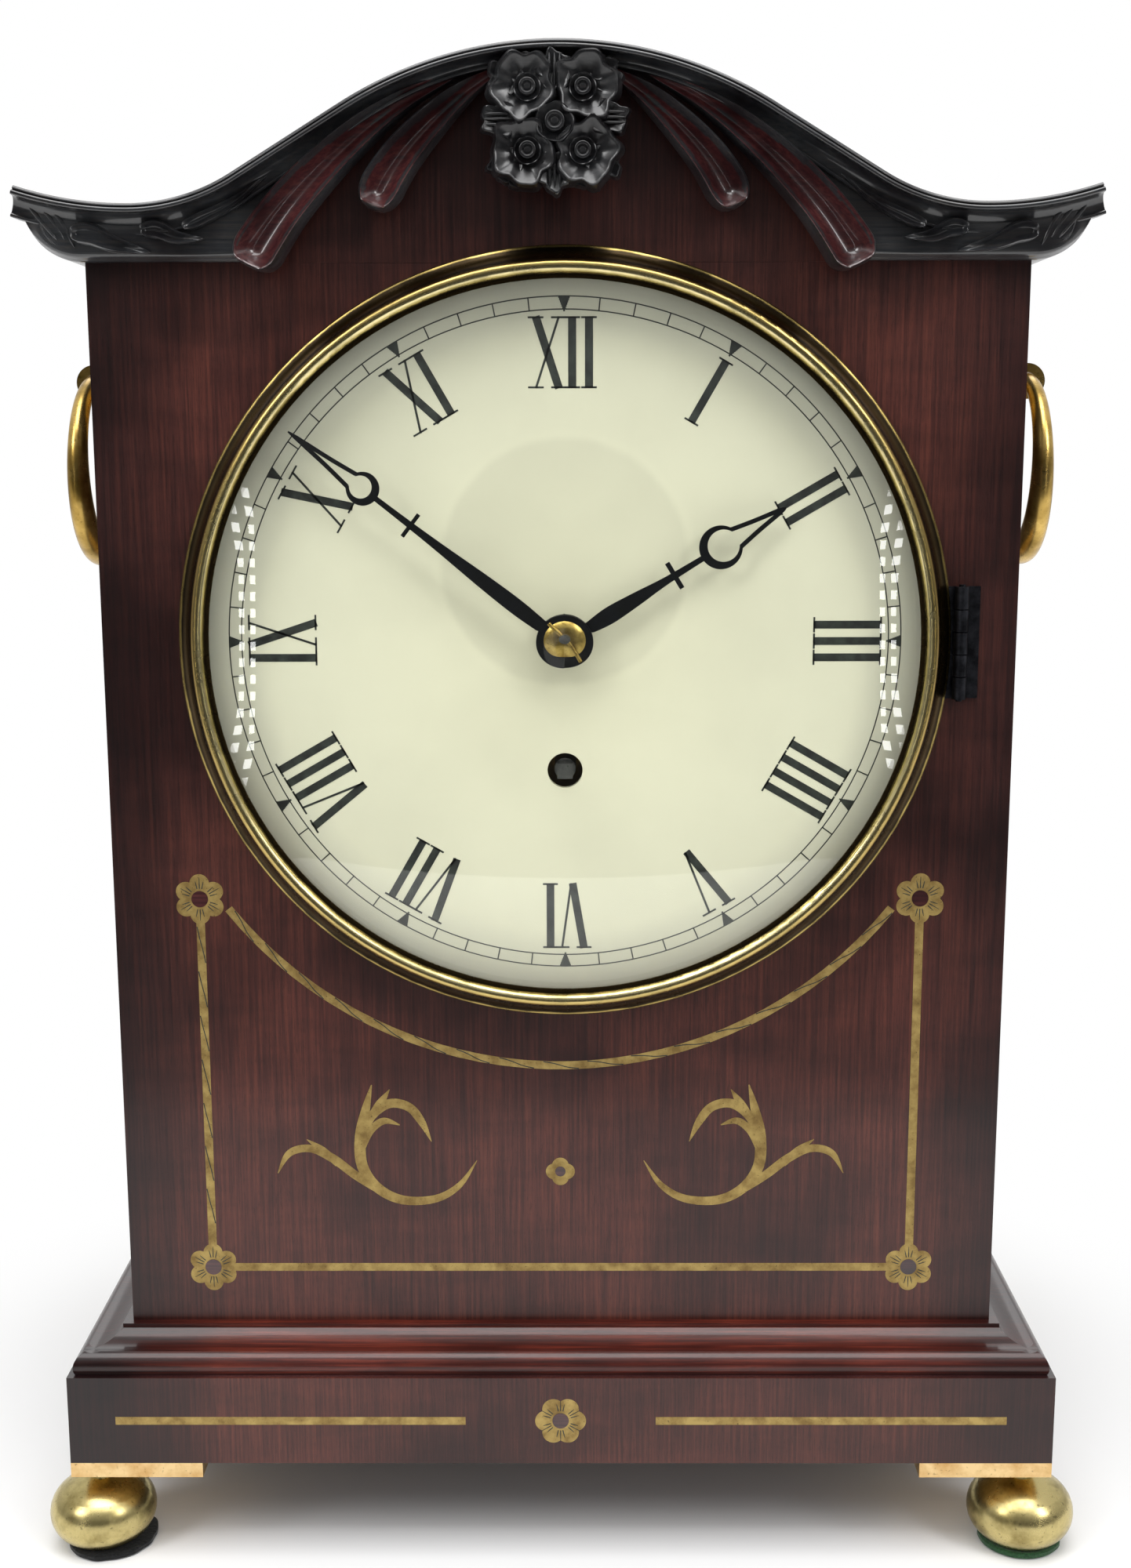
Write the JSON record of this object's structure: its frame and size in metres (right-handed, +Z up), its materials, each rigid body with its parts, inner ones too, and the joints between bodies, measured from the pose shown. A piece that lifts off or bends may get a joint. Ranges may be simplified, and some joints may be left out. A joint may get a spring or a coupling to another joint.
{
  "type": "bracket clock",
  "caption": "Bracket clock in inlaid mahogany with an ogee roof, round silvered dial behind a domed glass door, ring handles, ball feet and a fusee pendulum movement",
  "frame": {"origin": "on the table, under the middle of the case", "axes": "+Z up, the dial faces -Y, +X to the right as one faces the dial"},
  "size_m": [0.3008, 0.2006, 0.4192],
  "materials": {
    "mahogany": "glossy french polish",
    "dark_mahogany": "glossy, nearly black",
    "carcase_wood": "bare",
    "turned_mahogany": "glossy",
    "aged_brass": "dull, rubbed",
    "bright_brass": "polished, tarnished in the hollows",
    "plate_brass": "fine brushed",
    "foot_plate": "dull, coppery brown",
    "silvered_dial": "silvered, satin",
    "black_steel": "blued nearly black",
    "steel": "polished",
    "clear_glass": "clear",
    "green_baize": "felted",
    "black_felt": "felted",
    "silk": "woven",
    "gut": "translucent gut"
  },
  "bodies": {
    "case": {"front_board": "carcase_wood", "front_veneer": "mahogany", "side_panel_left": "mahogany", "side_panel_right": "mahogany", "roof_board": "dark_mahogany", "pediment_carving": "dark_mahogany", "patera": "dark_mahogany", "floor_board": "carcase_wood", "plinth_frame": "mahogany", "base_moulding": "turned_mahogany", "rear_header": "mahogany", "brass_inlay": "aged_brass", "corner_plates": "foot_plate", "ball_feet": "bright_brass", "baize_pads": "green_baize", "felt_pad": "black_felt", "side_frets": "aged_brass", "fret_silk": "silk", "handle_bosses": "bright_brass", "dial_plate": "silvered_dial", "dial_feet": "plate_brass", "bezel_hinge_plate": "bright_brass", "front_movement_plate": "plate_brass", "back_movement_plate": "plate_brass", "plate_pillars": "plate_brass", "seat_board": "carcase_wood", "barrel_arbor": "steel", "fusee_line": "gut", "back_cock": "plate_brass", "door_hinge_wall_leaves": "bright_brass"},
    "bezel": {"bezel_ring": "bright_brass", "bezel_glass": "clear_glass", "bezel_hinge_leaf": "bright_brass"},
    "minute_arbor": {"centre_arbor": "steel", "centre_wheel": "plate_brass", "cannon_pinion": "plate_brass", "minute_hand": "black_steel", "hand_collet": "bright_brass"},
    "hour_pipe": {"hour_wheel": "plate_brass", "hour_hand": "black_steel"},
    "minute_wheel": {"minute_wheel": "plate_brass"},
    "great_wheel": {"great_wheel": "plate_brass"},
    "fusee": {"fusee": "plate_brass", "winding_arbor": "steel"},
    "spring_barrel": {"spring_barrel": "plate_brass"},
    "third_wheel": {"third_wheel": "plate_brass"},
    "escape_wheel": {"escape_wheel": "plate_brass"},
    "anchor": {"anchor": "steel"},
    "pendulum": {"suspension_spring": "steel", "pendulum_rod": "steel", "pendulum_bob": "bright_brass"},
    "rating_nut": {"rating_nut": "bright_brass"},
    "handle_left": {"handle_ring_left": "bright_brass"},
    "handle_right": {"handle_ring_right": "bright_brass"},
    "rear_door": {"rear_door_frame": "mahogany", "rear_door_glass": "clear_glass", "door_hinge_leaves": "bright_brass"},
    "rear_latch": {"rear_latch": "bright_brass"}
  },
  "joints": [
    {"name": "bezel_door", "type": "hinge", "parent": "case", "child": "bezel", "pos_m": [0.1092, -0.083, 0.2646], "axis": [0, 0, 1], "range_deg": [0, 120]},
    {"name": "minute_turn", "type": "hinge", "parent": "case", "child": "minute_arbor", "pos_m": [0.0016, -0.08, 0.2646], "axis": [0, 1, 0], "continuous": true},
    {"name": "hour_turn", "type": "hinge", "parent": "case", "child": "hour_pipe", "pos_m": [0.0016, -0.08, 0.2646], "axis": [0, 1, 0], "continuous": true},
    {"name": "minute_wheel_turn", "type": "hinge", "parent": "case", "child": "minute_wheel", "pos_m": [0.01687, -0.062, 0.24933], "axis": [0, 1, 0], "continuous": true},
    {"name": "great_wheel_turn", "type": "hinge", "parent": "case", "child": "great_wheel", "pos_m": [0.0016, -0.05, 0.2286], "axis": [0, 1, 0], "continuous": true},
    {"name": "winding", "type": "hinge", "parent": "great_wheel", "child": "fusee", "pos_m": [0.0016, -0.03, 0.2286], "axis": [0, 1, 0], "range_deg": [0, 5760]},
    {"name": "barrel_turn", "type": "hinge", "parent": "case", "child": "spring_barrel", "pos_m": [-0.0384, -0.03, 0.2046], "axis": [0, 1, 0], "range_deg": [0, 4608]},
    {"name": "third_turn", "type": "hinge", "parent": "case", "child": "third_wheel", "pos_m": [0.01016, -0.03, 0.28811], "axis": [0, 1, 0], "continuous": true},
    {"name": "escape_turn", "type": "hinge", "parent": "case", "child": "escape_wheel", "pos_m": [0.0016, -0.03, 0.3066], "axis": [0, 1, 0], "continuous": true},
    {"name": "pendulum_swing", "type": "hinge", "parent": "case", "child": "pendulum", "pos_m": [0.0016, 0.012, 0.3278], "axis": [0, 1, 0], "range_deg": [-3, 3]},
    {"name": "anchor_swing", "type": "hinge", "parent": "case", "child": "anchor", "pos_m": [0.0016, -0.01, 0.3278], "axis": [0, 1, 0], "range_deg": [-3, 3]},
    {"name": "rating_turn", "type": "hinge", "parent": "pendulum", "child": "rating_nut", "pos_m": [0.0016, 0.012, 0.1], "axis": [0, 0, 1], "continuous": true},
    {"name": "handle_left_swing", "type": "hinge", "parent": "case", "child": "handle_left", "pos_m": [-0.1435, 0, 0.337], "axis": [0, 1, 0], "range_deg": [-14, 110]},
    {"name": "handle_right_swing", "type": "hinge", "parent": "case", "child": "handle_right", "pos_m": [0.1435, 0, 0.337], "axis": [0, 1, 0], "range_deg": [-110, 14]},
    {"name": "rear_door_hinge", "type": "hinge", "parent": "case", "child": "rear_door", "pos_m": [0.11285, 0.0824, 0.2053], "axis": [0, 0, 1], "range_deg": [-110, 0]},
    {"name": "rear_latch_turn", "type": "hinge", "parent": "rear_door", "child": "rear_latch", "pos_m": [-0.1, 0.08, 0.2052], "axis": [0, 1, 0], "range_deg": [-90, 0]}
  ],
  "couplings": [
    {"joint": "hour_turn", "follows": "minute_turn", "ratio": 0.083333},
    {"joint": "minute_wheel_turn", "follows": "minute_turn", "ratio": -1},
    {"joint": "great_wheel_turn", "follows": "minute_turn", "ratio": -0.083333},
    {"joint": "third_turn", "follows": "minute_turn", "ratio": -12},
    {"joint": "escape_turn", "follows": "minute_turn", "ratio": 133.71},
    {"joint": "barrel_turn", "follows": "winding", "ratio": 0.8},
    {"joint": "anchor_swing", "follows": "pendulum_swing", "ratio": 1}
  ]
}
